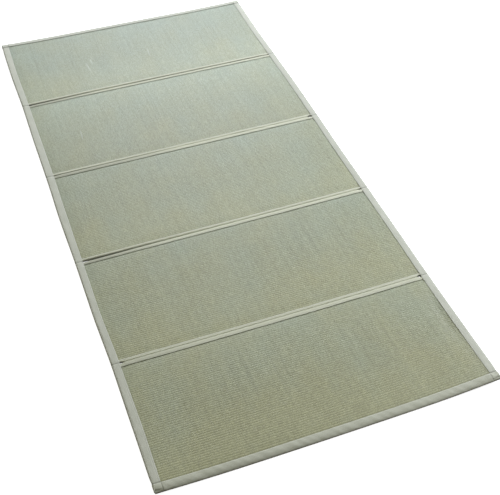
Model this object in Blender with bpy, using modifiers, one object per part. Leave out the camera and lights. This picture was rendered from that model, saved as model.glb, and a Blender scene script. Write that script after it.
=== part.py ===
"""A folding tatami mat: five rush panels in a row, each bound along its two fold edges by a
narrow cloth tape, with one long tape down each side of the mat and one tape across each end.

It lies flat, unfolded, on z = 0. X is across the mat, Y along it and Z up, in metres. Panels,
folds and rows of the tables are counted from the far end, which is at +Y."""

from collections import namedtuple
from math import cos, pi, sin

import bmesh
import bpy
import numpy as np

# Driving dimensions
MAT_WIDTH = 1.000
MAT_LENGTH = 2.100
PANEL_COUNT = 5
CLOTH = 0.0012  # binding cloth, doubled
GAP = 0.0003  # left between pieces that touch
LAYER = CLOTH + GAP

# Height of the mat's upper skin over the bare rush, and where one or two tapes cover it
SKIN_HEIGHTS = (0.0090, 0.0094, 0.0097)

# Width of a tape's upper and lower flap on a panel's far edge and on its near edge, and the soft
# rounding of the edge it wraps
FOLD_TAPE_WIDTHS = (0.0145, 0.0100)
END_TAPE_WIDTHS = (0.0210, 0.0250)
OUTER_NOSE = (0.0070, 0.0040)
FOLD_NOSE = (0.0025, 0.0025)
NOSE_STEPS = 3
NOSE_SLACK = 0.0003  # an edge inside a wrapped tape is this much slimmer again, all round
MOST_DROP = 0.43  # an edge is rounded by no more than this share of its thickness
TUCKED_END = 0.0080  # where a tape that runs under another stops, short of the mat's edge

# Past a tape's inner edge the panel stays thin for a little way, then fills out
FLAT_MARGIN = 0.0020
FILL_OUT = 0.0220
SIDE_FLAT = 0.0280 + FLAT_MARGIN
MOST_LEAN = 0.0030  # how far a gaping slit may push a fold tape back

# Points across and along the filled middle of a panel
SPANS_ACROSS = 8
SPANS_ALONG = 3

# The crease that each fold presses into the long tapes
CREASE_DEPTH = 0.0005
CREASE_HALF_WIDTH = 0.0022

# The near end bows out in the middle, and its corners are drawn in
END_BOW = 0.0035

# How far each side wanders outwards, and the long tapes' widths, along the mat
Side = namedtuple("Side", "place left_out right_out left_width right_width")
SIDES = (
    Side(0.0, -0.0010, -0.0010, 0.0245, 0.0240),
    Side(0.5, 0.0010, -0.0020, 0.0240, 0.0240),
    Side(1.0, -0.0015, 0.0005, 0.0235, 0.0245),
    Side(1.5, 0.0005, 0.0030, 0.0255, 0.0245),
    Side(2.0, 0.0005, 0.0020, 0.0255, 0.0240),
    Side(2.5, 0.0030, 0.0000, 0.0260, 0.0240),
    Side(3.0, 0.0010, 0.0005, 0.0230, 0.0245),
    Side(3.5, 0.0015, 0.0010, 0.0225, 0.0245),
    Side(4.0, -0.0020, 0.0005, 0.0240, 0.0250),
    Side(4.5, -0.0010, 0.0020, 0.0260, 0.0255),
    Side(5.0, 0.0000, 0.0010, 0.0240, 0.0245),
)

# Each fold's place from the far end, how far its middle bows towards the near end, and how much
# its right end lies farther away than its left. It is hinged at its upper or lower edge and gapes
# at the other. The widths are those of the gaping edge: at the left end, a little way in, in the
# middle, and so on to the right end.
Fold = namedtuple("Fold", "place bow skew hinge left_end left middle right right_end")
FOLDS = (
    Fold(0.4160, 0.0000, 0.0040, "lower", 0.0050, 0.0040, 0.0010, 0.0006, 0.0006),
    Fold(0.8345, 0.0000, 0.0035, "upper", 0.0020, 0.0010, 0.0010, 0.0010, 0.0036),
    Fold(1.2543, 0.0010, 0.0040, "lower", 0.0056, 0.0046, 0.0010, 0.0006, 0.0012),
    Fold(1.6725, 0.0025, 0.0000, "upper", 0.0036, 0.0010, 0.0010, 0.0010, 0.0044),
)

# Corners that curl up off the floor
Corner = namedtuple("Corner", "x_sign y_sign rise")
CORNERS = (
    Corner(-1, 1, 0.0015),
    Corner(1, 1, 0.0010),
    Corner(-1, -1, 0.0050),
    Corner(1, -1, 0.0080),
)
CURL_ACROSS = 0.220
CURL_ALONG = 0.380

HALF_WIDTH = MAT_WIDTH / 2
HALF_LENGTH = MAT_LENGTH / 2
MEAN_PANEL_LENGTH = MAT_LENGTH / PANEL_COUNT
EDGE_PLACES = (0.0, *(row.place for row in FOLDS), MAT_LENGTH)


def ease(amount):
    """Goes smoothly from 0 to 1 as amount does."""
    amount = min(max(amount, 0.0), 1.0)
    return amount * amount * (3 - 2 * amount)


def side_row(y, left, right, x_sign):
    """A column of SIDES at y, eased from one row to the next."""
    place = min(max((HALF_LENGTH - y) / MEAN_PANEL_LENGTH, 0.0), float(PANEL_COUNT))
    row = min(int(place * 2), len(SIDES) - 2)
    column = left if x_sign < 0 else right
    start, end = (getattr(SIDES[row + k], column) for k in (0, 1))
    return start + (end - start) * ease(place * 2 - row)


def side_x(y, x_sign):
    """Where the mat's long side is at y."""
    return x_sign * (HALF_WIDTH + side_row(y, "left_out", "right_out", x_sign))


def side_tape_width(y, x_sign):
    return side_row(y, "left_width", "right_width", x_sign)


def end_y(x, y_sign):
    """Where the mat's far or near end is at x."""
    drawn_in = END_BOW * (x / HALF_WIDTH) ** 4 if y_sign < 0 else 0.0
    return y_sign * (HALF_LENGTH - drawn_in)


def fold_y(x, fold):
    """The middle of a fold at x."""
    row = FOLDS[fold]
    across = x / HALF_WIDTH
    return HALF_LENGTH - row.place + row.skew / 2 * across - row.bow * (1 - across**2)


def half_slit(x, fold, height):
    """Half the width of a fold's slit at x and at a height: the panels lean apart from the hinge."""
    row = FOLDS[fold]
    beside_tape = HALF_WIDTH - SIDE_FLAT
    filled_out = beside_tape - FILL_OUT
    places = (-beside_tape, -filled_out, 0.0, filled_out, beside_tape)
    widths = (row.left_end, row.left, row.middle, row.right, row.right_end)
    gaping = float(np.interp(x, places, widths))
    share = height / SKIN_HEIGHTS[1] if row.hinge == "lower" else 1 - height / SKIN_HEIGHTS[1]
    return (GAP + (gaping - GAP) * share) / 2


def end_flat(y_sign):
    """How far in from the mat's far or near end a panel stays thin."""
    return END_TAPE_WIDTHS[y_sign < 0] + FLAT_MARGIN


def fold_flat(near_edge):
    """How far in from a fold a panel stays thin, on its far or near edge."""
    return FOLD_TAPE_WIDTHS[near_edge] + MOST_LEAN + FLAT_MARGIN


def rise(x, y):
    """How far the curled corners lift the mat off the floor, the bound edges staying level."""
    total = 0.0
    for corner in CORNERS:
        from_side = max(0.0, HALF_WIDTH - SIDE_FLAT - corner.x_sign * x)
        from_end = max(0.0, HALF_LENGTH - end_flat(corner.y_sign) - corner.y_sign * y)
        across = max(0.0, 1 - from_side / CURL_ACROSS)
        along = max(0.0, 1 - from_end / CURL_ALONG)
        total += corner.rise * across**2 * along**2
    return total


def cover(distance, flat):
    """1 under a tape, easing to 0 where the panel fills out; distance is from the edge."""
    return 1 - ease((distance - flat) / FILL_OUT)


def side_cover(x, y):
    """How far a long tape's layer reaches at a place, whichever side it is nearer."""
    x_sign = 1 if x > 0 else -1
    return cover(abs(side_x(y, x_sign)) - abs(x), SIDE_FLAT)


def end_cover(x, y):
    y_sign = 1 if y > 0 else -1
    return cover(abs(end_y(x, y_sign)) - abs(y), end_flat(y_sign))


def cross_cover(x, y):
    """How far an end tape's or a fold tape's layer reaches at a place."""
    beyond = [y - fold_y(x, fold) for fold in range(len(FOLDS))]
    return max([end_cover(x, y), *(cover(abs(d), fold_flat(d > 0)) for d in beyond)])


def upper(layers, outside):
    """Height of the upper skin of what has this many layers outside it, of so many in all."""
    return float(np.interp(layers, range(len(SKIN_HEIGHTS)), SKIN_HEIGHTS)) - outside * LAYER


def nose(size, inset=0.0, slack=0.0):
    """The rounding of an edge as pairs (distance inwards, drop), from the tip to the flat."""
    across, down = size[0] - inset, size[1] - inset + slack
    turns = [k * pi / 2 / NOSE_STEPS for k in range(NOSE_STEPS + 1)]
    return [(inset + slack + across * (1 - cos(turn)), down * (1 - sin(turn))) for turn in turns]


def panel_stations():
    """Distances across a panel from each long side of the mat, as (side, distance)."""
    edge = [d for d, _ in board_nose(OUTER_NOSE)] + [SIDE_FLAT, SIDE_FLAT + FILL_OUT]
    left = [(-1, d) for d in edge]
    right = [(1, d) for d in reversed(edge)]
    reach = MAT_WIDTH - 2 * edge[-1]
    steps = [edge[-1] + reach * k / SPANS_ACROSS for k in range(1, SPANS_ACROSS)]
    return left + [(-1, d) for d in steps] + right


def board_nose(size):
    """The rounding of a panel's own edge, inside one layer of cloth."""
    return nose(size, LAYER, NOSE_SLACK)


def drop_at(distance, arc):
    """How far a rounded edge lies below the flat at a distance from it."""
    distances, drops = zip(*arc)
    return float(np.interp(distance, distances, drops))


def edge_of(number, near_edge):
    """A panel's far or near edge: the fold it lies on or None, its rounding and its thin strip."""
    fold = number if near_edge else number - 1
    if 0 <= fold < len(FOLDS):
        return fold, FOLD_NOSE, fold_flat(near_edge)
    return None, OUTER_NOSE, end_flat(-1 if near_edge else 1)


def filled_rows(number):
    """Rows of a panel's filled middle and the borders of its thin strips, far edge to near."""
    far_flat, near_flat = (edge_of(number, near_edge)[2] for near_edge in (False, True))
    length = EDGE_PLACES[number + 1] - EDGE_PLACES[number]
    reach = length - far_flat - near_flat - 2 * FILL_OUT
    middle = [far_flat + FILL_OUT + reach * k / SPANS_ALONG for k in range(SPANS_ALONG)]
    return [(False, far_flat)] + [(False, d) for d in middle] + [
        (True, near_flat + FILL_OUT),
        (True, near_flat),
    ]


def row_y(number, near_edge, distance, x):
    """Y of a place at a distance inwards from a panel's far or near edge."""
    fold = edge_of(number, near_edge)[0]
    inwards = 1 if near_edge else -1
    edge = end_y(x, -inwards) if fold is None else fold_y(x, fold)
    return edge + inwards * distance


def lean(number, near_edge, distance, x, height):
    """How far a point beside a fold is pushed along Y by the slit, at its height."""
    fold, _, flat = edge_of(number, near_edge)
    if fold is None or distance >= flat:
        return 0.0
    pushed = half_slit(x, fold, height) * (1 - distance / flat)
    return pushed if near_edge else -pushed


def material(name, colour, roughness):
    made = bpy.data.materials.new(name)
    made.use_nodes = True
    shader = made.node_tree.nodes["Principled BSDF"]
    shader.inputs["Base Color"].default_value = (*colour, 1.0)
    shader.inputs["Roughness"].default_value = roughness
    shader.inputs["Metallic"].default_value = 0.0
    return made


def add_object(name, work, collection, finish):
    """Turns a finished bmesh into a named, smooth-shaded object whose highest face looks up."""
    bmesh.ops.recalc_face_normals(work, faces=work.faces)
    mesh = bpy.data.meshes.new(name)
    work.to_mesh(mesh)
    work.free()
    highest = max(mesh.polygons, key=lambda face: face.center.z)
    if highest.normal.z < 0:
        mesh.flip_normals()
    mesh.materials.append(finish)
    mesh.shade_smooth()
    made = bpy.data.objects.new(name, mesh)
    collection.objects.link(made)
    return made


def by_place(points, columns, rows):
    """The points of a unit grid, looked up by (column, row)."""
    return {
        (round((p.co.x + 0.5) * (columns - 1)), round((p.co.y + 0.5) * (rows - 1))): p
        for p in points
    }


def grid(columns, rows):
    """A flat unit grid and its points."""
    work = bmesh.new()
    bmesh.ops.create_grid(work, x_segments=columns - 1, y_segments=rows - 1, size=0.5)
    return work, by_place(work.verts, columns, rows)


def height_at(layers, outside, drop, lower):
    """Height of a skin of this many layers in all and outside it, less the edge's rounding."""
    bottom, top = outside * LAYER, upper(layers, outside)
    drop = min(drop, MOST_DROP * (top - bottom))
    return bottom + drop if lower else top - drop


def panel(number, collection, finish):
    """One rush panel, filled out in the middle and thin where the tapes wrap it."""
    columns = panel_stations()
    rows = [(False, d) for d, _ in board_nose(edge_of(number, False)[1])]
    rows += filled_rows(number)
    rows += [(True, d) for d, _ in reversed(board_nose(edge_of(number, True)[1]))]
    side_arc = board_nose(OUTER_NOSE)

    work, lower_points = grid(len(columns), len(rows))
    copied = bmesh.ops.extrude_face_region(work, geom=work.faces[:], use_keep_orig=True)
    raised = [point for point in copied["geom"] if isinstance(point, bmesh.types.BMVert)]
    upper_points = by_place(raised, len(columns), len(rows))
    for points, lower in ((lower_points, True), (upper_points, False)):
        for (column, row), point in points.items():
            side, from_side = columns[column]
            near_edge, from_edge = rows[row]
            rough_x = side * (HALF_WIDTH - from_side)
            y = row_y(number, near_edge, from_edge, rough_x)
            tucked = (LAYER + NOSE_SLACK) * end_cover(rough_x, y) * max(0.0, 1 - from_side / SIDE_FLAT)
            x = side_x(y, side) - side * (from_side + tucked)
            y = row_y(number, near_edge, from_edge, x)
            layers = side_cover(x, y) + cross_cover(x, y)
            edge_arc = board_nose(edge_of(number, near_edge)[1])
            drop = max(drop_at(from_side, side_arc), drop_at(from_edge, edge_arc))
            height = height_at(layers, layers, drop, lower)
            y += lean(number, near_edge, from_edge, x, height)
            point.co = (x, y, height + rise(x, y))
    return add_object(f"panel_{number + 1}", work, collection, finish)


def wrapped():
    """Points round a tape: (place on the rounding or None for the flap's edge, lower)."""
    lower_half = [(None, True)] + [(k, True) for k in reversed(range(NOSE_STEPS + 1))]
    return lower_half + [(k, False) for k, _ in reversed(lower_half)]


def tape(name, stations, place, collection, finish, capped=False):
    """A strip of cloth wrapped round an edge. place puts each point of the profile at a station."""
    profile = wrapped()
    work, points = grid(len(stations), len(profile))
    for (column, row), point in points.items():
        point.co = place(stations[column], profile[row])
    if capped:
        for column in (0, len(stations) - 1):
            end = [points[column, row] for row in range(len(profile))]
            bmesh.ops.contextual_create(work, geom=end)
    made = add_object(name, work, collection, finish)
    wrap = made.modifiers.new("cloth", "SOLIDIFY")
    wrap.thickness = CLOTH
    wrap.offset = -1.0
    wrap.use_even_offset = True
    wrap.use_quality_normals = True
    return made


def side_stations():
    """Places along a long tape: those of the panels' rows, with three more at each fold."""
    stations = []
    for number in range(PANEL_COUNT):
        first, last = (edge_of(number, near_edge)[0] is None for near_edge in (False, True))
        stations += [(number, False, d) for d in ([TUCKED_END] if first else [CREASE_HALF_WIDTH])]
        stations += [(number, *row) for row in filled_rows(number)]
        creased = [(number, True, d) for d in (CREASE_HALF_WIDTH, 0.0)]
        stations += [(number, True, TUCKED_END)] if last else creased
    return stations


def side_tape(name, x_sign, collection, finish):
    """The long tape down one side, tucked under the end tapes and creased at each fold."""

    def place(station, profile_point):
        number, near_edge, from_edge = station
        k, lower = profile_point
        y = row_y(number, near_edge, from_edge, x_sign * HALF_WIDTH)
        edge = abs(side_x(y, x_sign))
        under_end = end_cover(x_sign * edge, y)
        flap = (side_tape_width(y, x_sign), 0.0)
        arc = nose(OUTER_NOSE, LAYER * under_end, NOSE_SLACK * under_end)
        distance, drop = flap if k is None else arc[k]
        x = x_sign * (edge - distance)
        layers = 1 + cross_cover(x_sign * edge, y)
        dip = CREASE_DEPTH if from_edge == 0.0 and not lower else 0.0
        height = height_at(layers, under_end, drop, lower) - dip
        return x, y, height + rise(x, y)

    return tape(name, side_stations(), place, collection, finish)


def end_tape(name, y_sign, collection, finish):
    """The tape across one end, closed round the ends of the long tapes at its corners."""
    width = END_TAPE_WIDTHS[y_sign < 0]
    edge_y = y_sign * (HALF_LENGTH - width)
    arc = nose(OUTER_NOSE)
    columns = [(side, d) for side, d in panel_stations() if d >= SIDE_FLAT]
    columns = [(-1, d) for d, _ in arc] + columns + [(1, d) for d, _ in reversed(arc)]

    def place(column, profile_point):
        side, from_side = column
        k, lower = profile_point
        distance, drop = (width, 0.0) if k is None else arc[k]
        x = side_x(edge_y, side) - side * from_side
        y = end_y(x, y_sign) - y_sign * distance
        layers = 1 + side_cover(x, y)
        height = height_at(layers, 0, max(drop, drop_at(from_side, arc)), lower)
        return x, y, height + rise(x, y)

    return tape(name, columns, place, collection, finish, capped=True)


def fold_tape(name, number, near_edge, collection, finish):
    """The narrow tape round one panel's fold edge; its ends run under the long tapes."""
    fold = edge_of(number, near_edge)[0]
    columns = [(side, d) for side, d in panel_stations() if d >= SIDE_FLAT]
    columns = [(-1, TUCKED_END), *columns, (1, TUCKED_END)]
    arc = nose(FOLD_NOSE)

    def place(column, profile_point):
        side, from_side = column
        k, lower = profile_point
        from_edge, drop = (FOLD_TAPE_WIDTHS[near_edge], 0.0) if k is None else arc[k]
        x = side_x(fold_y(side * HALF_WIDTH, fold), side) - side * from_side
        y = row_y(number, near_edge, from_edge, x)
        under = side_cover(x, y)
        height = height_at(1 + under, under, drop, lower)
        y += lean(number, near_edge, from_edge, x, height)
        return x, y, height + rise(x, y)

    return tape(name, columns, place, collection, finish)


def build():
    for old in list(bpy.data.objects):
        bpy.data.objects.remove(old, do_unlink=True)
    collection = bpy.data.collections.new("tatami_mat")
    bpy.context.scene.collection.children.link(collection)
    rush = material("rush", (0.36, 0.39, 0.29), 0.62)
    binding = material("binding", (0.52, 0.54, 0.46), 0.80)
    for number in range(PANEL_COUNT):
        panel(number, collection, rush)
    for fold in range(len(FOLDS)):
        fold_tape(f"fold_tape_{fold + 1}_far", fold, True, collection, binding)
        fold_tape(f"fold_tape_{fold + 1}_near", fold + 1, False, collection, binding)
    side_tape("side_tape_left", -1, collection, binding)
    side_tape("side_tape_right", 1, collection, binding)
    end_tape("end_tape_far", 1, collection, binding)
    end_tape("end_tape_near", -1, collection, binding)


build()
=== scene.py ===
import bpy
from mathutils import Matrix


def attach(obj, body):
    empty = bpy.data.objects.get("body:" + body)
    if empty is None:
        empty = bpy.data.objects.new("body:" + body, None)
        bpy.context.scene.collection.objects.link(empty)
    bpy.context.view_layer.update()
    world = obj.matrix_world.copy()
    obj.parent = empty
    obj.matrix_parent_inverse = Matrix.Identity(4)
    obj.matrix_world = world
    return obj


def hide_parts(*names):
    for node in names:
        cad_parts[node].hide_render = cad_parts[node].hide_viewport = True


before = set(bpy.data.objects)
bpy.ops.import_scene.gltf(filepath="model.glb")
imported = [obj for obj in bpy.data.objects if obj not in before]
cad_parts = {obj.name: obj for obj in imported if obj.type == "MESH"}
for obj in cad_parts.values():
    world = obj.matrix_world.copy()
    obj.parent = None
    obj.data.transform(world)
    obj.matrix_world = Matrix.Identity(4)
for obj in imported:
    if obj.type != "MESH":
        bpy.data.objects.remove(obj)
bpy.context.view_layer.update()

import math

import bmesh
import bpy
import numpy as np
from mathutils import Euler, Vector

# camera, light and floor
scene = bpy.context.scene
scene.view_settings.view_transform = "Standard"

camera = {
    "place": (-0.70935, -2.17893, 2.06444),
    "turn": (44.055, -0.739, -20.974),  # degrees
    "lens": 65.68,  # millimetres, as the sensor
    "sensor": 36.0,
    "farthest": 60.0,
}
lens = bpy.data.cameras.new("camera")
lens.lens = camera["lens"]
lens.sensor_width = camera["sensor"]
lens.clip_end = camera["farthest"]
cameraObject = bpy.data.objects.new("camera", lens)
cameraObject.location = camera["place"]
cameraObject.rotation_euler = Euler([math.radians(a) for a in camera["turn"]])
scene.collection.objects.link(cameraObject)
scene.camera = cameraObject

studio = {
    "sky": (1.05, 1.0, 0.76),
    "skyStrength": 0.26,
    "skyLean": 0.6,  # how much brighter the room is behind the mat than in front
    "horizon": (-0.05, 0.15),  # heights between which the sky comes up
    "windows": (
        {"place": (1.0, 3.6, 2.4), "size": 2.2, "power": 110.0, "colour": (0.96, 1.0, 1.15)},
        {"place": (3.2, 0.2, 2.0), "size": 2.2, "power": 130.0, "colour": (0.97, 1.0, 1.13)},
    ),
    "floorColour": (0.90, 0.90, 0.90),
    "floorGlow": 0.92,
    "floorSize": 100.0,
    "floorDrop": 0.0003,  # just below the mat's underside
    "floorRoughness": 0.9,
    "floorShine": 0.1,
    "white": (1.0, 1.0, 1.0),
}


def buildStudio():
    # soft light from above only, so the sides that face the viewer fall into shade
    world = bpy.data.worlds.new("studio")
    world.use_nodes = True
    nodes, links = world.node_tree.nodes, world.node_tree.links
    place = nodes.new("ShaderNodeTexCoord")
    parts = nodes.new("ShaderNodeSeparateXYZ")
    above = nodes.new("ShaderNodeMapRange")
    above.inputs["From Min"].default_value = studio["horizon"][0]
    above.inputs["From Max"].default_value = studio["horizon"][1]
    above.inputs["To Max"].default_value = studio["skyStrength"]
    behind = nodes.new("ShaderNodeMapRange")
    behind.inputs["From Min"].default_value = -1.0
    behind.inputs["To Min"].default_value = 1 - studio["skyLean"]
    behind.inputs["To Max"].default_value = 1 + studio["skyLean"]
    both = nodes.new("ShaderNodeMath")
    both.operation = "MULTIPLY"
    links.new(place.outputs["Generated"], parts.inputs[0])
    links.new(parts.outputs["Z"], above.inputs["Value"])
    links.new(parts.outputs["Y"], behind.inputs["Value"])
    links.new(above.outputs[0], both.inputs[0])
    links.new(behind.outputs[0], both.inputs[1])
    background = nodes["Background"]
    background.inputs["Color"].default_value = (*studio["sky"], 1.0)
    links.new(both.outputs[0], background.inputs["Strength"])
    # white beyond the floor, which the camera sees but which throws no light
    backdrop = nodes.new("ShaderNodeBackground")
    backdrop.inputs["Color"].default_value = (*studio["white"], 1.0)
    rays = nodes.new("ShaderNodeLightPath")
    pick = nodes.new("ShaderNodeMixShader")
    links.new(rays.outputs["Is Camera Ray"], pick.inputs[0])
    links.new(background.outputs[0], pick.inputs[1])
    links.new(backdrop.outputs[0], pick.inputs[2])
    links.new(pick.outputs[0], nodes["World Output"].inputs["Surface"])
    scene.world = world

    for number, panes in enumerate(studio["windows"], 1):
        light = bpy.data.lights.new(f"window{number}", "AREA")
        light.shape = "SQUARE"
        light.size = panes["size"]
        light.energy = panes["power"]
        light.color = panes["colour"]
        window = bpy.data.objects.new(f"window{number}", light)
        window.location = panes["place"]
        aim = Vector([-value for value in panes["place"]])
        window.rotation_euler = aim.to_track_quat("-Z", "Y").to_euler()
        scene.collection.objects.link(window)

    work = bmesh.new()
    bmesh.ops.create_grid(work, x_segments=1, y_segments=1, size=studio["floorSize"] / 2)
    bmesh.ops.translate(work, vec=(0, 0, -studio["floorDrop"]), verts=work.verts)
    mesh = bpy.data.meshes.new("floor")
    work.to_mesh(mesh)
    work.free()
    floor = bpy.data.objects.new("floor", mesh)
    scene.collection.objects.link(floor)
    floor.visible_diffuse = False  # a white floor that throws no light back under the edges
    floor.visible_glossy = False
    paint = bpy.data.materials.new("floorPaint")
    paint.use_nodes = True
    shader = paint.node_tree.nodes["Principled BSDF"]
    shader.inputs["Base Color"].default_value = (*studio["floorColour"], 1.0)
    shader.inputs["Emission Color"].default_value = (*studio["white"], 1.0)
    shader.inputs["Emission Strength"].default_value = studio["floorGlow"]
    shader.inputs["Roughness"].default_value = studio["floorRoughness"]
    shader.inputs["Specular IOR Level"].default_value = studio["floorShine"]
    mesh.materials.append(paint)


buildStudio()
print("studio ready")

# the mat's own sizes, in metres
mat = {
    "halfWidth": 0.500,
    "halfLength": 1.050,
    "cloth": 0.0008,
    "gap": 0.0002,  # between a tape and what it lies on
    "slack": 0.0003,  # more gap round an edge
    "mostDrop": 0.43,  # how far one skin rounds off at an edge, of the panel's height
    "skins": (0.0090, 0.0094, 0.0097),  # upper skin over bare rush, one tape and two
    "outerNose": (0.0070, 0.0040),
    "nearNose": (0.0210, 0.0064),  # the near end's top rounds over like a bolster
    "foldTapes": (0.0145, 0.0100),  # on a panel's far edge and near edge
    "endTapes": (0.0210, 0.0250),
    "tuckedEnd": 0.0080,  # a fold tape's end stops this far short of the mat's side
    "margin": 0.0020,  # flat beyond a flap's edge
    "mostLean": 0.0030,
    "fillOut": 0.0220,  # over which a panel then rises to its full height
    "sideFlat": 0.0300,
    "endBow": 0.0040,  # how much shorter the near end is at its corners
    "nearIn": 0.0010,
    "cornerRound": 0.0060,
}
layer = mat["cloth"] + mat["gap"]

tenths = 10000  # tenths of a millimetre in a metre
nearly = 1e-6

# outward wander of each side and the side tapes' widths, in tenths of a millimetre,
# at equal steps from the far end
sides = {
    "step": 0.21,
    "leftOut": (-10, 10, -15, 5, 5, 30, 10, 15, -20, -10, 0),
    "rightOut": (-10, -20, 5, 30, 20, 0, 5, 5, -5, 0, -10),
    "leftWidth": (245, 240, 235, 255, 255, 260, 230, 225, 240, 260, 240),
    "rightWidth": (240, 240, 245, 245, 240, 240, 245, 245, 250, 255, 245),
}

# slits and holes in tenths of a millimetre, slits and shades from left to right
folds = (
    {"place": 0.4160, "bow": 0.0, "skew": 0.0040, "stray": 0.0028, "lowHinge": True,
     "slit": (54, 46, 24, 22, 10), "nose": (0.0062, 0.0046), "holes": (14, 4),
     "shade": (1.0, 0.36, 0.85, 0.64, 0.90), "soilAndShade": (0.38, 0.0)},
    {"place": 0.8345, "bow": 0.0, "skew": 0.0035, "stray": 0.0, "lowHinge": False,
     "slit": (20, 14, 2, 8, 36), "nose": (0.0050, 0.0036), "holes": (14, 70),
     "shade": (0.85, 0.50, 0.0, 0.26, 0.2), "soilAndShade": (0.36, 0.28)},
    {"place": 1.2543, "bow": 0.001, "skew": 0.0040, "stray": 0.0015, "lowHinge": True,
     "slit": (84, 76, 8, 4, 12), "nose": (0.0048, 0.0036), "holes": (8, 30),
     "shade": (0.75, 0.10, 0.0, 0.14, 0.0), "soilAndShade": (0.40, 0.0)},
    {"place": 1.6725, "bow": 0.0025, "skew": 0.0, "stray": 0.0, "lowHinge": False,
     "slit": (36, 10, 5, 4, 44), "nose": (0.0036, 0.0026), "holes": (44, 70),
     "shade": (0.0, 0.0, 0.0, 0.0, 0.0), "soilAndShade": (0.16, 0.0)},
)
foldEnds = {
    "strayFrom": 0.5,  # of half the mat's width
    "strayOver": 0.4,
    "holeIn": 0.0290,  # from the mat's side to a hole's middle
    "holeHalfWidth": 0.0070,
}
edgePlaces = (0.0, *(fold["place"] for fold in folds), 2 * mat["halfLength"])

corners = {  # how far each corner curls up, by the signs of its x and y
    "rises": {(-1, 1): 0.0028, (1, 1): 0.0034, (-1, -1): 0.0050, (1, -1): 0.0080},
    "across": 0.220,
    "along": 0.380,
}


def ease(amount):
    amount = np.clip(amount, 0.0, 1.0)
    return amount * amount * (3 - 2 * amount)


def bell(distance, halfWidth):
    return np.exp(-((distance / halfWidth) ** 2))


def sideRow(y, name):
    values = np.array(sides[name]) / tenths
    last = len(values) - 1
    place = np.clip((mat["halfLength"] - y) / sides["step"], 0.0, last)
    row = np.minimum(place.astype(int), last - 1)
    return values[row] + (values[row + 1] - values[row]) * ease(place - row)


def sideX(y, sign):
    y = np.asarray(y, float)
    out = np.where(sign < 0, sideRow(y, "leftOut"), sideRow(y, "rightOut"))
    return sign * (mat["halfWidth"] + out)


def endY(x, sign):
    x = np.asarray(x, float)
    if sign > 0:
        return mat["halfLength"] + 0 * x
    across = np.minimum(np.abs(x) / mat["halfWidth"], 1.0)
    return mat["endBow"] * across**2 + mat["nearIn"] - mat["halfLength"]


def foldY(x, number):
    fold = folds[number]
    across = np.asarray(x, float) / mat["halfWidth"]
    middle = mat["halfLength"] - fold["place"]
    stray = fold["stray"] * ease((-across - foldEnds["strayFrom"]) / foldEnds["strayOver"])
    return middle + fold["skew"] / 2 * across - fold["bow"] * (1 - across**2) - stray


def halfSlit(x, number, height):
    fold = folds[number]
    beside = mat["halfWidth"] - mat["sideFlat"]
    inner = beside - mat["fillOut"]
    gaping = np.interp(x, (-beside, -inner, 0.0, inner, beside), fold["slit"]) / tenths
    share = height / mat["skins"][1]
    lean = share if fold["lowHinge"] else 1 - share
    return (mat["gap"] + (gaping - mat["gap"]) * lean + holeAt(x, number) * share) / 2


def holeAt(x, number):
    # the small hole that opens beside each side tape, where the fold tapes slip under it
    left, right = folds[number]["holes"]
    beside = mat["halfWidth"] - foldEnds["holeIn"]
    wide = np.where(np.asarray(x) < 0, left, right) / tenths
    return wide * bell(np.abs(x) - beside, foldEnds["holeHalfWidth"])


def endFlat(sign):
    return mat["endTapes"][int(sign < 0)] + mat["margin"]


def foldFlat(nearEdge):
    return mat["foldTapes"][int(nearEdge)] + mat["mostLean"] + mat["margin"]


def curl(x, y):
    total = np.zeros(np.broadcast(x, y).shape)
    for (xSign, ySign), height in corners["rises"].items():
        fromSide = np.maximum(0.0, mat["halfWidth"] - mat["sideFlat"] - xSign * x)
        fromEnd = np.maximum(0.0, mat["halfLength"] - endFlat(ySign) - ySign * y)
        across = np.maximum(0.0, 1 - fromSide / corners["across"])
        along = np.maximum(0.0, 1 - fromEnd / corners["along"])
        total = total + height * across**2 * along**2
    return total


def cover(distance, flat):
    return 1 - ease((distance - flat) / mat["fillOut"])


def sideCover(x, y):
    edge = np.where(x > 0, sideX(y, 1), -sideX(y, -1))
    return cover(edge - np.abs(x), mat["sideFlat"])


def endCover(x, y):
    far = cover(endY(x, 1) - y, endFlat(1))
    near = cover(y - endY(x, -1), endFlat(-1))
    return np.maximum(far, near)


def crossCover(x, y):
    most = endCover(x, y)
    for number in range(len(folds)):
        beyond = y - foldY(x, number)
        flat = np.where(beyond > 0, foldFlat(True), foldFlat(False))
        most = np.maximum(most, cover(np.abs(beyond), flat))
    return most


def skin(layers, outside):
    return np.interp(layers, (0, 1, 2), mat["skins"]) - outside * layer


def nose(size, inset=0.0, slack=0.0, steps=8):
    across, down = size[0] - inset, size[1] - inset + slack
    turns = np.linspace(0, math.pi / 2, steps + 1)
    return inset + slack + across * (1 - np.cos(turns)), down * (1 - np.sin(turns))


def roundCorner(a, b, radius):
    # pulls a point at distances a and b from two edges onto a rounded corner
    p, q = np.clip(radius - a, 0, None), np.clip(radius - b, 0, None)
    inA = p * (1 - np.sqrt(1 - (q / radius) ** 2 / 2))
    inB = q * (1 - np.sqrt(1 - (p / radius) ** 2 / 2))
    return inA, inB


waveReach = (0.6, 1.7)  # the shortest and longest wave, of the mean one


# smooth unevenness: a few sines with fixed seeds
def waves(x, y, reach, seed, count=7):
    rng = np.random.default_rng(seed)
    total = 0.0
    for k in range(count):
        angle, phase = rng.uniform(0, 2 * math.pi, 2)
        turn = 2 * math.pi / (reach * rng.uniform(*waveReach))
        total = total + np.sin(turn * (x * np.cos(angle) + y * np.sin(angle)) + phase)
    return total / count


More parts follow.
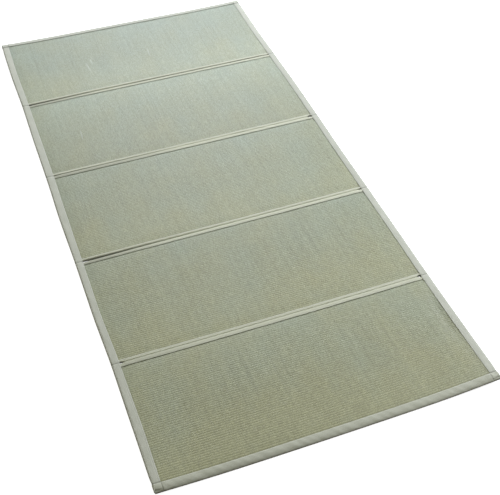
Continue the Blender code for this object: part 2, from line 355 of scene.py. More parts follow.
# a doubled grid: two skins joined all round, filled in with numpy
def doubledGrid(name, columns, rows, openEnds=False):
    work = bmesh.new()
    bmesh.ops.create_grid(work, x_segments=columns - 1, y_segments=rows - 1, size=0.5)
    flat = work.faces[:]
    copied = bmesh.ops.extrude_face_region(work, geom=flat, use_keep_orig=True)
    raised = [p for p in copied["geom"] if isinstance(p, bmesh.types.BMVert)]
    bmesh.ops.translate(work, vec=(0, 0, 1), verts=raised)
    bmesh.ops.recalc_face_normals(work, faces=work.faces[:])
    if openEnds:  # no wall between the skins at the first and last column
        walls = [
            face for face in work.faces
            if all(abs(abs(vert.co.x) - 0.5) < nearly for vert in face.verts)
        ]
        bmesh.ops.delete(work, geom=walls, context="FACES_ONLY")
    mesh = bpy.data.meshes.new(name)
    work.to_mesh(mesh)
    work.free()
    places = np.empty(len(mesh.vertices) * 3)
    mesh.vertices.foreach_get("co", places)
    places = places.reshape(-1, 3)
    column = np.rint((places[:, 0] + 0.5) * (columns - 1)).astype(int)
    row = np.rint((places[:, 1] + 0.5) * (rows - 1)).astype(int)
    return mesh, column, row, places[:, 2] > 0.5


def finishMesh(mesh, places, patternUv, finish, merge=False):
    mesh.vertices.foreach_set("co", np.ascontiguousarray(places, dtype=np.float32).ravel())
    corner = np.empty(len(mesh.loops), dtype=np.int32)
    mesh.loops.foreach_get("vertex_index", corner)
    uv = mesh.uv_layers.new(name="pattern")
    uv.data.foreach_set("uv", patternUv[corner].astype(np.float32).ravel())
    mesh.update()
    work = bmesh.new()
    work.from_mesh(mesh)
    if merge:
        bmesh.ops.remove_doubles(work, verts=work.verts[:], dist=2 * nearly)
    if work.calc_volume(signed=True) < 0:
        bmesh.ops.reverse_faces(work, faces=work.faces[:])
    work.to_mesh(mesh)
    work.free()
    mesh.materials.append(finish)
    mesh.shade_smooth()
    made = bpy.data.objects.new(mesh.name, mesh)
    scene.collection.objects.link(made)
    return made


def keepValues(mesh, byName):
    for name, values in byName.items():
        kept = mesh.attributes.new(name, "FLOAT", "POINT")
        kept.data.foreach_set("value", values.astype(np.float32))


# materials
def newFinish(name):
    finish = bpy.data.materials.new(name)
    finish.use_nodes = True
    tree = finish.node_tree
    shader = tree.nodes["Principled BSDF"]

    def node(kind, **settings):
        made = tree.nodes.new(kind)
        for key, value in settings.items():
            if hasattr(made, key):
                setattr(made, key, value)
            else:
                made.inputs[key.replace("_", " ")].default_value = value
        return made

    def join(start, end):
        tree.links.new(start, end)

    return finish, shader, node, join


def mixColours(node, join, factor, one, two, blend="MIX"):
    mix = node("ShaderNodeMix", data_type="RGBA", blend_type=blend)
    for socket, value in ((mix.inputs[0], factor), (mix.inputs[6], one), (mix.inputs[7], two)):
        if isinstance(value, bpy.types.NodeSocket):
            join(value, socket)
        elif isinstance(value, tuple):
            socket.default_value = (*value, 1.0)
        else:
            socket.default_value = value
    return mix.outputs[2]


def spread(node, join, value, low, high, toLow, toHigh):
    made = node("ShaderNodeMapRange")
    join(value, made.inputs[0])
    for k, number in enumerate((low, high, toLow, toHigh), 1):
        made.inputs[k].default_value = number
    return made.outputs[0]


def bumped(node, join, height, strengthAndDistance, under=None, inwards=False):
    strength, distance = strengthAndDistance
    made = node("ShaderNodeBump", Strength=strength, Distance=distance)
    made.invert = inwards
    join(height, made.inputs["Height"])
    if under:
        join(under, made.inputs["Normal"])
    return made.outputs[0]


# a noise's values: scale across and along, detail, the range read and the range given
def noisy(node, join, uv, values, roughness=0.5):
    scale, detail, *ranges = values
    mapping = node("ShaderNodeMapping")
    join(uv.outputs[0], mapping.inputs["Vector"])
    mapping.inputs["Scale"].default_value = (*scale, 1.0)
    made = node("ShaderNodeTexNoise", Scale=1.0, Detail=detail, Roughness=roughness)
    join(mapping.outputs[0], made.inputs["Vector"])
    if ranges:
        return spread(node, join, made.outputs["Fac"], *ranges)
    return made.outputs["Fac"]


rush = {
    "green": (0.304, 0.364, 0.277),
    "tan": (0.339, 0.344, 0.190),
    "pale": (0.42, 0.43, 0.33),
    "dark": (0.15, 0.16, 0.10),
    "rubbedSheen": (0.60, 0.66, 0.58),
    "scuffs": (  # in metres across from the middle and along from the far end
        {"across": -0.211, "along": 0.262, "long": 0.042, "wide": 0.0045, "turn": -4},
        {"across": -0.192, "along": 0.226, "long": 0.026, "wide": 0.0040, "turn": -3},
        {"across": 0.036, "along": 0.236, "long": 0.034, "wide": 0.0030, "turn": 4},
    ),
    "stem": 0.0024,
    "ridge": 0.00715,
    "stemTones": (0.86, 1.14),
    "between": 0.70,  # the tone between two stems, painted shade in the crevice
    "betweenWidth": 0.00028,
    "betweenSoftness": 0.8,
    "patches": ((7.0, 5.0), 3.0),
    "patchShare": 1.2,
    "tanRange": (0.50, 1.60),
    "streaks": ((75.0, 1.3), 1.0, 0.32, 0.68, 0.0, 1.0),
    "streakTones": ((0.96, 0.96, 0.955), (1.035, 1.035, 1.03)),
    "lines": ((230.0, 3.2), 0.0, 0.62, 0.74, 0.0, 0.18),
    "flecks": ((420.0, 90.0), 1.0, 0.63, 0.74, 0.0, 0.35),
    "ridgeBreaks": ((55.0, 34.0), 1.0, 0.3, 0.7, 0.45, 1.45),
    "fibres": ((900.0, 60.0), 2.0),
    "noiseRoughness": 0.55,
    "rub": (0.0, 0.8, 0.0, 0.38),
    "bleached": (1.20, 1.20, 1.195),
    "ridgeShade": 0.40,
    "stemBump": (0.5, 0.0006),
    "fibreBump": (0.35, 0.0004),
    "roughness": 0.44,
    "sheen": (0.25, 0.5),  # weight and roughness
}


def rushFinish():
    finish, shader, node, join = newFinish("rush")
    uv = node("ShaderNodeUVMap", uv_map="pattern")
    ageing = node("ShaderNodeAttribute", attribute_name="ageing")
    shadeAndGrime = node("ShaderNodeAttribute", attribute_name="shadeAndGrime")
    faded = node("ShaderNodeAttribute", attribute_name="faded")

    def noise(name):
        return noisy(node, join, uv, rush[name], rush["noiseRoughness"])

    shift = node("ShaderNodeMath", operation="MULTIPLY_ADD")
    join(noise("patches"), shift.inputs[0])
    shift.inputs[1].default_value = rush["patchShare"]
    join(ageing.outputs["Fac"], shift.inputs[2])
    amount = spread(node, join, shift.outputs[0], *rush["tanRange"], 0.0, 1.0)
    colour = mixColours(node, join, amount, rush["green"], rush["tan"])

    # stems side by side along each ridge, every other ridge half a stem over
    stems = node("ShaderNodeTexBrick", offset=0.5, offset_frequency=2)
    join(uv.outputs[0], stems.inputs["Vector"])
    stems.inputs["Scale"].default_value = 1.0
    stems.inputs["Brick Width"].default_value = rush["stem"]
    stems.inputs["Row Height"].default_value = rush["ridge"]
    stems.inputs["Mortar Size"].default_value = rush["betweenWidth"]
    stems.inputs["Mortar Smooth"].default_value = rush["betweenSoftness"]
    tones = (*rush["stemTones"], rush["between"])
    for socket, tone in zip(("Color1", "Color2", "Mortar"), tones):
        stems.inputs[socket].default_value = (tone, tone, tone, 1.0)
    colour = mixColours(node, join, 1.0, colour, stems.outputs["Color"], "MULTIPLY")

    tint = mixColours(node, join, noise("streaks"), *rush["streakTones"])
    colour = mixColours(node, join, 1.0, colour, tint, "MULTIPLY")
    colour = mixColours(node, join, noise("lines"), colour, rush["dark"])
    colour = mixColours(node, join, noise("flecks"), colour, rush["pale"])
    for scuff in rush["scuffs"]:  # short rubbed strokes, paler from the wear, with their shine painted in as a pale colour (painted sheen)
        place = node("ShaderNodeMapping", vector_type="TEXTURE")
        join(uv.outputs[0], place.inputs["Vector"])
        place.inputs["Location"].default_value = (scuff["across"], scuff["along"], 0)
        place.inputs["Rotation"].default_value = (0, 0, math.radians(scuff["turn"]))
        place.inputs["Scale"].default_value = (scuff["wide"], scuff["long"], 1)
        stroke = node("ShaderNodeTexGradient", gradient_type="SPHERICAL")
        join(place.outputs[0], stroke.inputs["Vector"])
        rub = spread(node, join, stroke.outputs["Fac"], *rush["rub"])
        colour = mixColours(node, join, rub, colour, rush["rubbedSheen"])
    colour = mixColours(node, join, faded.outputs["Fac"], colour, rush["bleached"], "MULTIPLY")
    broken = node("ShaderNodeMath", operation="MULTIPLY")  # painted shade in the valleys, grooves and hollows, which fades in and out along the ridges
    join(shadeAndGrime.outputs["Fac"], broken.inputs[0])
    join(noise("ridgeBreaks"), broken.inputs[1])
    shade = spread(node, join, broken.outputs[0], 0.0, 1.0, 0.0, rush["ridgeShade"])
    colour = mixColours(node, join, shade, colour, rush["dark"])
    join(colour, shader.inputs["Base Color"])

    rounded = bumped(node, join, stems.outputs["Fac"], rush["stemBump"], inwards=True)
    fine = bumped(node, join, noise("fibres"), rush["fibreBump"], rounded)
    join(fine, shader.inputs["Normal"])
    shader.inputs["Roughness"].default_value = rush["roughness"]
    shader.inputs["Sheen Weight"].default_value = rush["sheen"][0]
    shader.inputs["Sheen Roughness"].default_value = rush["sheen"][1]
    return finish


binding = {
    "cloth": (0.503, 0.522, 0.428),
    "worn": (0.553, 0.568, 0.474),
    "cream": (0.582, 0.603, 0.450),  # the narrow tapes along the folds
    "thread": (0.60, 0.61, 0.54),
    "shade": (0.16, 0.165, 0.12),
    "yarn": 0.0007,
    "patches": ((25.0, 60.0), 3.0, 0.35, 0.65, 0.0, 1.0),
    "weaveTone": (0.38, 0.40, 0.33),
    "weaveShade": 0.16,
    "stitchLine": 0.0024,  # from the flap's edge
    "stitchHalfWidth": 0.00035,
    "stitchLength": 0.0040,
    "stitchShare": 0.78,  # how much of that length is thread
    "weaveBump": (0.35, 0.0002),
    "stitchBump": (0.6, 0.0004),
    "roughness": 0.75,
    "sheen": (0.3, 0.5),
}


def bindingFinish():
    finish, shader, node, join = newFinish("binding")
    uv = node("ShaderNodeUVMap", uv_map="pattern")
    parts = node("ShaderNodeSeparateXYZ")
    join(uv.outputs[0], parts.inputs[0])

    def sums(operation, one, two=0.0):
        made = node("ShaderNodeMath", operation=operation)
        for socket, value in zip(made.inputs, (one, two)):
            if isinstance(value, bpy.types.NodeSocket):
                join(value, socket)
            else:
                socket.default_value = value
        return made.outputs[0]

    patches = noisy(node, join, uv, binding["patches"])
    colour = mixColours(node, join, patches, binding["cloth"], binding["worn"])
    cream = node("ShaderNodeAttribute", attribute_name="cream")
    colour = mixColours(node, join, cream.outputs["Fac"], colour, binding["cream"])

    # plain weave: one wave along the tape and one across it
    turn = 2 * math.pi / binding["yarn"]
    along = sums("SINE", sums("MULTIPLY", parts.outputs[0], turn))
    across = sums("SINE", sums("MULTIPLY", parts.outputs[1], turn))
    weave = sums("MULTIPLY", along, across)
    shade = spread(node, join, weave, -1.0, 1.0, 0.0, binding["weaveShade"])
    colour = mixColours(node, join, shade, colour, binding["weaveTone"])

    # a row of stitches along each flap
    offLine = sums("ABSOLUTE", sums("SUBTRACT", parts.outputs[1], binding["stitchLine"]))
    onLine = sums("LESS_THAN", offLine, binding["stitchHalfWidth"])
    phase = sums("FRACT", sums("DIVIDE", parts.outputs[0], binding["stitchLength"]))
    stitch = sums("MULTIPLY", onLine, sums("LESS_THAN", phase, binding["stitchShare"]))
    colour = mixColours(node, join, stitch, colour, binding["thread"])
    # painted shade in the tapes' creases, seams, slits and where one tape shows through another, with
    # real soil and grime added in places
    shadeAndGrime = node("ShaderNodeAttribute", attribute_name="shadeAndGrime")
    colour = mixColours(node, join, shadeAndGrime.outputs["Fac"], colour, binding["shade"])
    join(colour, shader.inputs["Base Color"])

    woven = bumped(node, join, weave, binding["weaveBump"])
    raised = bumped(node, join, stitch, binding["stitchBump"], woven)
    join(raised, shader.inputs["Normal"])
    shader.inputs["Roughness"].default_value = binding["roughness"]
    shader.inputs["Sheen Weight"].default_value = binding["sheen"][0]
    shader.inputs["Sheen Roughness"].default_value = binding["sheen"][1]
    return finish


rushCloth = rushFinish()
bindingCloth = bindingFinish()
print("materials ready")

# rush panels
panel = {
    "ridgeDepth": 0.0005,
    "rowsPerRidge": 6,
    "columnStep": 0.020,
    "unevenness": 0.0003,
    "ridgeWander": 0.0004,
    "drawnDown": 0.0010,  # how deep the rush lies along the sewn flaps
    "faded": (  # how bleached each panel is at its far end, middle and near end
        (0.38, 0.32, 0.90), (0.92, 0.22, 0.0), (0.20, 0.10, 0.45),
        (0.20, 0.16, 0.42), (0.38, 0.11, 0.38),
    ),
    "hollows": (  # soft dents: place, half length and width, and turn in degrees
        {"x": 0.457, "y": -0.800, "long": 0.080, "wide": 0.011, "turn": 90, "depth": 0.0024},
        {"x": -0.140, "y": 0.420, "long": 0.090, "wide": 0.030, "turn": 80, "depth": 0.0006},
        {"x": 0.210, "y": -0.260, "long": 0.120, "wide": 0.035, "turn": 100, "depth": 0.0006},
    ),
}


def softPatch(x, y, patch):
    turn = math.radians(patch["turn"])
    along = (x - patch["x"]) * math.cos(turn) + (y - patch["y"]) * math.sin(turn)
    across = (y - patch["y"]) * math.cos(turn) - (x - patch["x"]) * math.sin(turn)
    return np.exp(-((along / patch["long"]) ** 2) - (across / patch["wide"]) ** 2)


def edgeY(number, nearEdge, x):
    if nearEdge:
        return endY(x, -1) if number == len(folds) else foldY(x, number)
    return endY(x, 1) if number == 0 else foldY(x, number - 1)


def panelNose(number, nearEdge):
    if nearEdge and number == len(folds):
        return mat["nearNose"], True
    if not nearEdge and number == 0:
        return mat["outerNose"], True
    return folds[number if nearEdge else number - 1]["nose"], False


def spacedOut(start, end, step):
    count = max(1, int(round(abs(end - start) / step)))
    return np.linspace(start, end, count + 1)


def buildPanel(number):
    length = edgePlaces[number + 1] - edgePlaces[number]
    farNose, farOuter = panelNose(number, False)
    nearNose, nearOuter = panelNose(number, True)
    farArc = nose(farNose, layer, mat["slack"])
    nearArc = nose(nearNose, layer, mat["slack"])
    sideArc = nose(mat["outerNose"], layer, mat["slack"])

    step = rush["ridge"] / panel["rowsPerRidge"]  # a row every 1.2 mm
    first = math.ceil(farArc[0][-1] / step + 0.3) * step
    last = math.floor((length - nearArc[0][-1]) / step - 0.3) * step
    fromFar = np.concatenate([farArc[0], spacedOut(first, last, step), length - nearArc[0][::-1]])
    toSide = 2 * mat["halfWidth"]
    inner = mat["sideFlat"] + mat["fillOut"]
    strip = np.concatenate([
        sideArc[0], spacedOut(sideArc[0][-1], 0.022, 0.005)[1:], np.arange(0.0235, 0.0300, 0.0015),
        spacedOut(0.0310, inner, 0.005),
    ])
    middle = spacedOut(inner, toSide - inner, panel["columnStep"])[1:-1]
    fromLeft = np.concatenate([strip, middle, toSide - strip[::-1]])

    name = f"rushPanel{number + 1}"
    mesh, column, row, upper = doubledGrid(name, len(fromLeft), len(fromFar))
    left = fromLeft[column]
    sign = np.where(left < toSide / 2, -1.0, 1.0)
    fromSide = np.minimum(left, toSide - left)
    far = fromFar[row]
    fromEdge = np.minimum(far, length - far)
    share = far / length

    def yAt(x):
        farY, nearY = edgeY(number, False, x), edgeY(number, True, x)
        return farY + (nearY - farY) * share

    roughX = sign * (mat["halfWidth"] - fromSide)
    y = yAt(roughX)
    tucked = (layer + mat["slack"]) * endCover(roughX, y) * np.maximum(0, 1 - fromSide / mat["sideFlat"])
    edgeX = np.where(sign < 0, sideX(y, -1), sideX(y, 1))
    x = edgeX - sign * (fromSide + tucked)
    y = yAt(x)
    layers = sideCover(x, y) + crossCover(x, y)
    farDrop = np.interp(far, *farArc)
    nearDrop = np.interp(length - far, *nearArc)
    drop = np.maximum(np.interp(fromSide, *sideArc), np.maximum(farDrop, nearDrop))
    bottom, top = layers * layer, skin(layers, layers)
    most = np.where(upper & (length - far < 0.03) & nearOuter, 0.72, mat["mostDrop"])
    lowDrop = np.maximum(drop * 0.4, np.interp(fromSide, *sideArc)) if nearOuter else drop
    drop = np.minimum(np.where(upper, drop, lowDrop), most * (top - bottom))

    # woven ridges across the panel, and the pad's slight unevenness
    wander = panel["ridgeWander"] * waves(x, y, 0.11, 40 + number)
    ridgeAt = (far + wander) / rush["ridge"]
    ridge = np.abs(np.sin(math.pi * ridgeAt)) ** 0.6
    calm = ease((fromEdge - 0.008) / 0.006) * ease((fromSide - 0.008) / 0.006)
    ridgeDent = (1 - ridge) * calm
    uneven = panel["unevenness"] * (1 + waves(x, y, 0.16, 60 + number)) * calm
    farFlap = mat["endTapes"][0] if farOuter else mat["foldTapes"][0]
    nearFlap = mat["endTapes"][1] if nearOuter else mat["foldTapes"][1]
    flapWidth = np.where(sign < 0, sideRow(y, "leftWidth"), sideRow(y, "rightWidth"))
    drawn = bell(far - farFlap - 0.0012, 0.0024)
    drawn = np.maximum(drawn, 0.35 * bell(length - far - nearFlap - 0.001, 0.0022))
    besideTape = np.where(sign < 0, 0.24, 0.05) * bell(fromSide - flapWidth - 0.001, 0.0022)
    drawn = np.maximum(drawn, besideTape)
    drawn = np.where(upper, drawn, 0.0)
    hollow = sum(dip["depth"] * softPatch(x, y, dip) for dip in panel["hollows"])
    # painted shade: darker colour in the ridge valleys, in the groove beside each flap's edge and in the
    # soft hollows
    shadeAndGrime = 0.52 * ridgeDent + drawn + 150 * hollow
    faded = np.interp(share, (0.12, 0.50, 0.88), panel["faded"][number])
    z = np.where(
        upper,
        top - drop - panel["ridgeDepth"] * ridgeDent - uneven - panel["drawnDown"] * drawn - hollow,
        bottom + drop + 0.5 * panel["ridgeDepth"] * ridgeDent,
    )

    # the panels lean apart where a slit gapes
    for fold, nearEdge in ((number - 1, False), (number, True)):
        if 0 <= fold < len(folds):
            distance = length - far if nearEdge else far
            flat = foldFlat(nearEdge)
            pushed = halfSlit(x, fold, z) * np.clip(1 - distance / flat, 0, 1)
            y = y + np.where(distance < flat, pushed if nearEdge else -pushed, 0)
    if farOuter or nearOuter:  # the mat's own corners are rounded
        fromEnd = far if farOuter else length - far
        tip = layer + mat["slack"]
        inX, inY = roundCorner(fromSide - tip, fromEnd - tip, mat["cornerRound"])
        x = x - sign * inX
        y = y + np.where(farOuter, -inY, inY)
    z = z + curl(x, y)

    pattern = np.stack([x + 0.37 * number, far + wander], axis=1)
    ageing = 0.45 * share + 0.14 * number - 0.04 * x * (number + share)
    keepValues(mesh, {"ageing": ageing, "shadeAndGrime": shadeAndGrime, "faded": faded})
    made = finishMesh(mesh, np.stack([x, y, z], axis=1), pattern, rushCloth)
    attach(made, "root")
    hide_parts(f"panel_{number + 1}")
    return made


panels = [buildPanel(number) for number in range(len(folds) + 1)]
print("panels ready")

# binding tapes
tape = {
    "step": 0.008,
    "noseSteps": 8,
    "roll": 0.0008,  # how far a flap's sewn edge rounds down
    "rollWidth": 0.0032,
    "pucker": 0.00050,
    "nearPucker": 0.0011,
    "creaseDepth": 0.0008,
    "creaseHalfWidth": 0.0022,
    "creases": (  # pinches in the near end tape, from its flap's edge towards the mat's end
        {"x": -0.372, "y": 0.012, "long": 0.016, "wide": 0.0035, "turn": 35, "depth": 0.0011},
        {"x": -0.210, "y": 0.010, "long": 0.014, "wide": 0.0030, "turn": 25, "depth": 0.0009},
        {"x": 0.020, "y": 0.013, "long": 0.018, "wide": 0.0040, "turn": 30, "depth": 0.0008},
        {"x": 0.190, "y": 0.011, "long": 0.014, "wide": 0.0032, "turn": 30, "depth": 0.0010},
        {"x": 0.352, "y": 0.008, "long": 0.011, "wide": 0.0024, "turn": 65, "depth": 0.0013},
    ),
    "seamIn": 0.0032,  # the sewn line, from the flap's edge
    "seamDepth": 0.0004,
    "mostDip": 0.0009,
    "usualWidth": 0.0245,
    "sideLength": 2.08,
}


def seam(toFlapEdge):
    return bell(toFlapEdge - tape["seamIn"], 0.0008)


def flapOf(width, start):
    # distances from the nose's flat to the flap's edge, closer together near the edge
    edge = np.array([0.0, 0.0004, 0.0010, 0.0018, 0.0032, 0.0050])
    edge = edge[edge < max(width - start - 0.0015, 0.0001)]
    inner = spacedOut(start, width - edge[-1], 0.003)[1:-1]
    return np.concatenate([inner, width - edge[::-1]])


def wrappedProfile(size, width, lowSize=None):
    # for each point round the tape: distance and drop, outside and inside, and if it is lower
    halves = []
    for rounding in (lowSize or size, size):
        outD, outDrop = nose(rounding, 0.0, 0.0, tape["noseSteps"])
        inD, inDrop = nose(rounding, mat["cloth"], 0.0, tape["noseSteps"])
        flap = flapOf(width, outD[-1])
        zero = np.zeros(len(flap))
        halves.append({
            "outD": np.concatenate([outD, flap]),
            "outDrop": np.concatenate([outDrop, zero]),
            "inD": np.concatenate([inD, flap]),
            "inDrop": np.concatenate([inDrop, zero]),
            "flap": np.concatenate([np.zeros(len(outD)), np.ones(len(flap))]),
        })
    low, high = halves
    whole = {key: np.concatenate([low[key][::-1], high[key]]) for key in low}
    whole["lower"] = np.arange(len(whole["outD"])) < len(low["outD"])
    return whole


def unrolled(profile):
    # how far round the tape each point is, from the lower flap's edge
    z = np.where(profile["lower"], profile["outDrop"], mat["skins"][1] - profile["outDrop"])
    steps = np.hypot(np.diff(profile["outD"]), np.diff(z))
    return np.concatenate([[0.0], np.cumsum(steps)])


def rolled(toFlapEdge):
    return tape["roll"] * np.clip(1 - toFlapEdge / tape["rollWidth"], 0, 1) ** 2


def heldUp(dip):  # a dent in a flap stops short of the rush below it
    return tape["mostDip"] * np.tanh(dip / tape["mostDip"])


def finishTape(mesh, places, along, around, node, seed, shadeAndGrime, cream=0.0):
    toEdge = np.minimum(around, around.max() - around)
    keepValues(mesh, {"shadeAndGrime": shadeAndGrime, "cream": np.full(len(places), cream)})
    pattern = np.stack([along + seed * 0.31, toEdge], axis=1)
    made = finishMesh(mesh, places, pattern, bindingCloth, True)
    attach(made, "root")
    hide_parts(node)


def buildSideTape(name, sign, node, seed):
    far = mat["halfLength"] - mat["tuckedEnd"]
    near = -mat["halfLength"] + mat["endBow"] + mat["tuckedEnd"]
    stops = [far, *(float(foldY(sign * mat["halfWidth"], k)) for k in range(len(folds))), near]
    stations = []
    for start, end in zip(stops, stops[1:]):
        first = start if start == far else start - tape["creaseHalfWidth"]
        last = end if end == near else end + tape["creaseHalfWidth"]
        stations += [first, *spacedOut(first, last, tape["step"])[1:-1], last]
        if end != near:
            half = tape["creaseHalfWidth"] / 2
            stations += [end + half, end, end - half]
    for flapEdge in (mat["halfLength"] - mat["endTapes"][0], mat["endTapes"][1] - mat["halfLength"]):
        stations += list(flapEdge + np.arange(-0.0050, 0.0090, 0.0011))
    stations = np.sort(np.array(stations))[::-1]
    stations = stations[np.append(True, -np.diff(stations) > 0.0004)]
    profile = wrappedProfile(mat["outerNose"], tape["usualWidth"])
    around = unrolled(profile)
    mesh, column, row, outer = doubledGrid(name, len(stations), len(around))

    y = stations[column]
    edge = np.abs(sideX(y, sign))
    under = endCover(sign * edge, y)
    widthAt = sideRow(y, "leftWidth" if sign < 0 else "rightWidth")
    flap = profile["flap"][row] > 0
    lower = profile["lower"][row]
    distance = np.where(outer, profile["outD"][row], profile["inD"][row])
    drop = np.where(outer, profile["outDrop"][row], profile["inDrop"][row])
    # under an end tape the rounding is slimmer by its cloth
    size, slim = mat["outerNose"], (layer + mat["slack"]) * under
    noseShare = np.clip(distance / size[0], 0, 1)
    distance = distance + slim * (1 - noseShare)
    drop = drop * (1 - slim / size[1] * 0.9)
    stretch = np.where(flap, (widthAt - size[0]) / (tape["usualWidth"] - size[0]), 1.0)
    distance = np.where(flap, size[0] + (distance - size[0]) * stretch, distance)
    x = sign * (edge - distance)
    layers = 1 + crossCover(sign * edge, y)
    bottom, top = under * layer, skin(layers, under)
    toFold = np.min([np.abs(y - stop) for stop in stops[1:-1]], axis=0)
    creased = np.clip(1 - toFold / tape["creaseHalfWidth"], 0, 1)
    for ySign in (1, -1):  # and along the inner edge of each end tape
        flapEdge = endY(sign * edge, ySign) - ySign * (mat["endTapes"][int(ySign < 0)] + 0.0012)
        creased = np.maximum(creased, np.clip(1.2 - np.abs(y - flapEdge) / 0.0022, 0, 1.1))
    crease = tape["creaseDepth"] * creased
    soft = tape["pucker"] * 0.5 * (1 + waves(y, distance * 3, 0.05, seed))
    sewn = np.where(lower, 0.0, seam(widthAt - distance))
    dip = np.where(outer, 0.6 * rolled(widthAt - distance) + soft * ease(distance / 0.004), 0.0)
    dip = dip + crease + tape["seamDepth"] * sewn
    skinIn = np.where(outer, 0.0, mat["cloth"])
    grime = 0.10 * (sign > 0) * ease((y + 0.35) / 0.25) * ease((0.95 - y) / 0.40)
    z = np.where(lower, bottom + skinIn + drop, top - skinIn - drop - heldUp(dip))
    z = z + curl(x, y)
    # painted shade: the tape darker in its creases at the folds and along each end tape's edge, and in
    # its sewn groove; grime darkens the right tape's middle and far part
    finishTape(
        mesh, np.stack([x, y, z], axis=1), y, around[row],
        node, seed,
        np.clip(0.85 * creased + 0.12 * sewn + grime, 0, 1),
    )


def buildEndTape(name, sign, node, seed):
    width = mat["endTapes"][int(sign < 0)]
    edgeLine = sign * (mat["halfLength"] - width)
    arc = nose(mat["outerNose"], 0.0, 0.0, tape["noseSteps"])
    reach = 2 * mat["halfWidth"]
    start = arc[0][-1]
    step = 0.0035 if sign < 0 else tape["step"]
    atEnd = [arc[0], spacedOut(start, 0.0195, step)[1:], np.arange(0.0206, 0.0300, 0.0011)]
    atEnd = np.concatenate(atEnd)
    middle = spacedOut(atEnd[-1], reach - atEnd[-1], step)[1:-1]
    fromLeft = np.concatenate([atEnd, middle, reach - atEnd[::-1]])
    if sign < 0:
        profile = wrappedProfile(mat["nearNose"], width, (0.0070, 0.0028))
    else:
        profile = wrappedProfile(mat["outerNose"], width)
    around = unrolled(profile)
    mesh, column, row, outer = doubledGrid(name, len(fromLeft), len(around), openEnds=True)

    left = fromLeft[column]
    side = np.where(left < reach / 2, -1.0, 1.0)
    fromSide = np.minimum(left, reach - left)
    lower = profile["lower"][row]
    distance = np.where(outer, profile["outD"][row], profile["inD"][row])
    drop = np.where(outer, profile["outDrop"][row], profile["inDrop"][row])
    # the closed ends: the two flaps meet at the mat's side
    closing = np.where(fromSide < 1e-9, 1.0, 0.0)
    # painted shade: the near end tape darker over its outer rounding, which faces away from the light,
    # most towards the left
    shadeShare = np.interp(left, (0.02, 0.20, 0.50, 0.80), (1.0, 0.90, 0.45, 0.1))
    soilAndShade = 0.32 * (1 - ease(distance / 0.024)) * shadeShare
    soilAndShade = soilAndShade + 0.30 * (1 - ease(distance / 0.0045))
    sideDrop = np.interp(fromSide, *arc)
    inside = np.where(outer, 0.0, mat["cloth"])
    fromSideHere = np.where(outer, fromSide, mat["cloth"] + fromSide * (1 - mat["cloth"] / start))
    fromSideHere = np.where(fromSide > start, fromSide, fromSideHere)
    edgeX = np.where(side < 0, sideX(edgeLine, -1), sideX(edgeLine, 1))
    x = edgeX - side * fromSideHere
    y = endY(x, sign) - sign * distance
    layers = 1 + sideCover(x, y)
    top = skin(layers, 0)
    middle = top / 2
    drop = np.maximum(drop, sideDrop * np.where(outer, 1.0, 0.7))
    deep = tape["nearPucker"] if sign < 0 else tape["pucker"]
    soft = deep * (0.35 + 0.9 * waves(x + 0.9 * distance, distance * 0.3, 0.024, seed, 5))
    if sign < 0:
        rows = width - distance
        creases = sum(dip["depth"] * softPatch(x, rows, dip) for dip in tape["creases"])
        soft = np.maximum(soft, 0) + creases
    calm = ease(distance / 0.005) * ease(fromSide / 0.006)
    sewn = np.where(lower, 0.0, seam(width - distance)) * ease(fromSide / 0.006)
    edgeUnder = sideRow(edgeLine, "leftWidth"), sideRow(edgeLine, "rightWidth")
    edgeUnder = np.where(side < 0, *edgeUnder)
    under = bell(fromSide - edgeUnder - 0.0005, 0.0013) * calm  # the side tape shows through as a ridge, with painted shade along it
    dip = np.where(outer, rolled(width - distance) + np.maximum(soft, 0) * calm, 0.0)
    dip = dip + tape["seamDepth"] * sewn + 0.0009 * under
    z = np.where(lower, inside + drop, top - inside - drop - heldUp(dip))
    z = np.where(closing > 0, middle, z)
    fromCorner = np.where(outer, fromSide, fromSideHere - mat["cloth"])
    inX, inY = roundCorner(fromCorner, distance, mat["cornerRound"])
    x = x - side * inX
    y = y - sign * inY
    z = z + curl(x, y)
    finishTape(
        mesh, np.stack([x, y, z], axis=1), x, around[row], node, seed,
        np.clip(0.15 * sewn + 0.6 * under + soilAndShade * (sign < 0), 0, 1), 0.35 if sign < 0 else 0.0,
    )


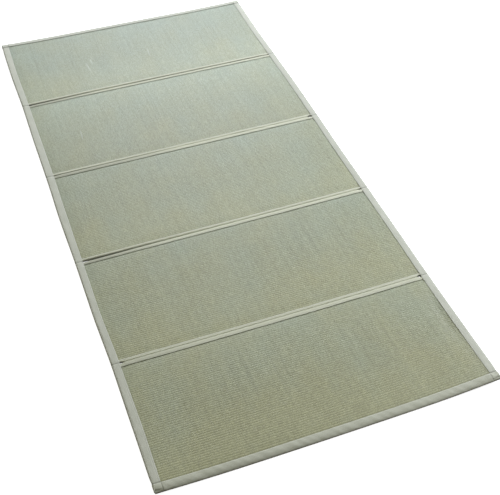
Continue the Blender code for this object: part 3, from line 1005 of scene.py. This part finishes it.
def buildFoldTape(name, number, nearEdge, node, seed):
    fold = number if nearEdge else number - 1
    width = mat["foldTapes"][int(nearEdge)]
    reach = 2 * mat["halfWidth"]
    atEnd = spacedOut(mat["tuckedEnd"], 0.046, 0.0025)
    middle = spacedOut(0.046, reach - 0.046, tape["step"])[1:-1]
    fromLeft = np.concatenate([atEnd, middle, reach - atEnd[::-1]])
    profile = wrappedProfile(folds[fold]["nose"], width)
    around = unrolled(profile)
    mesh, column, row, outer = doubledGrid(name, len(fromLeft), len(around))

    x = fromLeft[column] - mat["halfWidth"]
    lower = profile["lower"][row]
    distance = np.where(outer, profile["outD"][row], profile["inD"][row])
    drop = np.where(outer, profile["outDrop"][row], profile["inDrop"][row])
    inwards = 1 if nearEdge else -1
    uneven = 0.0007 * waves(x, 0 * x, 0.09, seed) * np.clip(distance / width, 0, 1)
    y = foldY(x, fold) + inwards * (distance + uneven)
    under = sideCover(x, y)
    layers = 1 + under
    bottom, top = under * layer, skin(layers, under)
    soft = 0.35 + 0.9 * waves(x + 0.8 * inwards * distance, distance * 0.3, 0.024, seed + 1, 5)
    soft = 0.0007 * soft * ease(distance / 0.004)
    sewn = np.where(lower, 0.0, seam(width - distance))
    dip = np.where(outer, rolled(width - distance) + np.maximum(soft, 0), 0.0) + tape["seamDepth"] * sewn
    hole = holeAt(x, fold) / 0.005
    dip = dip + 0.0004 * hole * np.clip(1 - distance / width, 0, 1)
    depth = drop / folds[fold]["nose"][1]
    shade = np.interp(x, (-0.42, -0.20, 0.0, 0.20, 0.42), folds[fold]["shade"])
    shade = shade * ease((depth - 0.08) / 0.45)
    shade = shade + 0.95 * hole * ease((depth + 0.05) / 0.35)
    if not nearEdge:
        shade = shade + np.interp(x, (-0.42, -0.20, 0.0), (*folds[fold]["soilAndShade"], 0.0))
    inside = np.where(outer, 0.0, mat["cloth"])
    z = np.where(lower, bottom + inside + drop, top - inside - drop - heldUp(dip))
    flat = foldFlat(nearEdge)
    y = y + inwards * halfSlit(x, fold, z) * np.clip(1 - distance / flat, 0, 1)
    z = z + curl(x, y)
    finishTape(
        mesh, np.stack([x, y, z], axis=1), x, around[row], node, seed,
        np.clip(0.15 * sewn + shade, 0, 1), 1.0,
    )


for number in range(len(folds)):
    piece, node = f"foldTape{number + 1}", f"fold_tape_{number + 1}"
    buildFoldTape(piece + "Far", number, True, node + "_far", 100 + number)
    buildFoldTape(piece + "Near", number + 1, False, node + "_near", 120 + number)
buildSideTape("sideTapeLeft", -1, "side_tape_left", 140)
buildSideTape("sideTapeRight", 1, "side_tape_right", 141)
buildEndTape("endTapeFar", 1, "end_tape_far", 150)
buildEndTape("endTapeNear", -1, "end_tape_near", 151)
print("tapes ready")
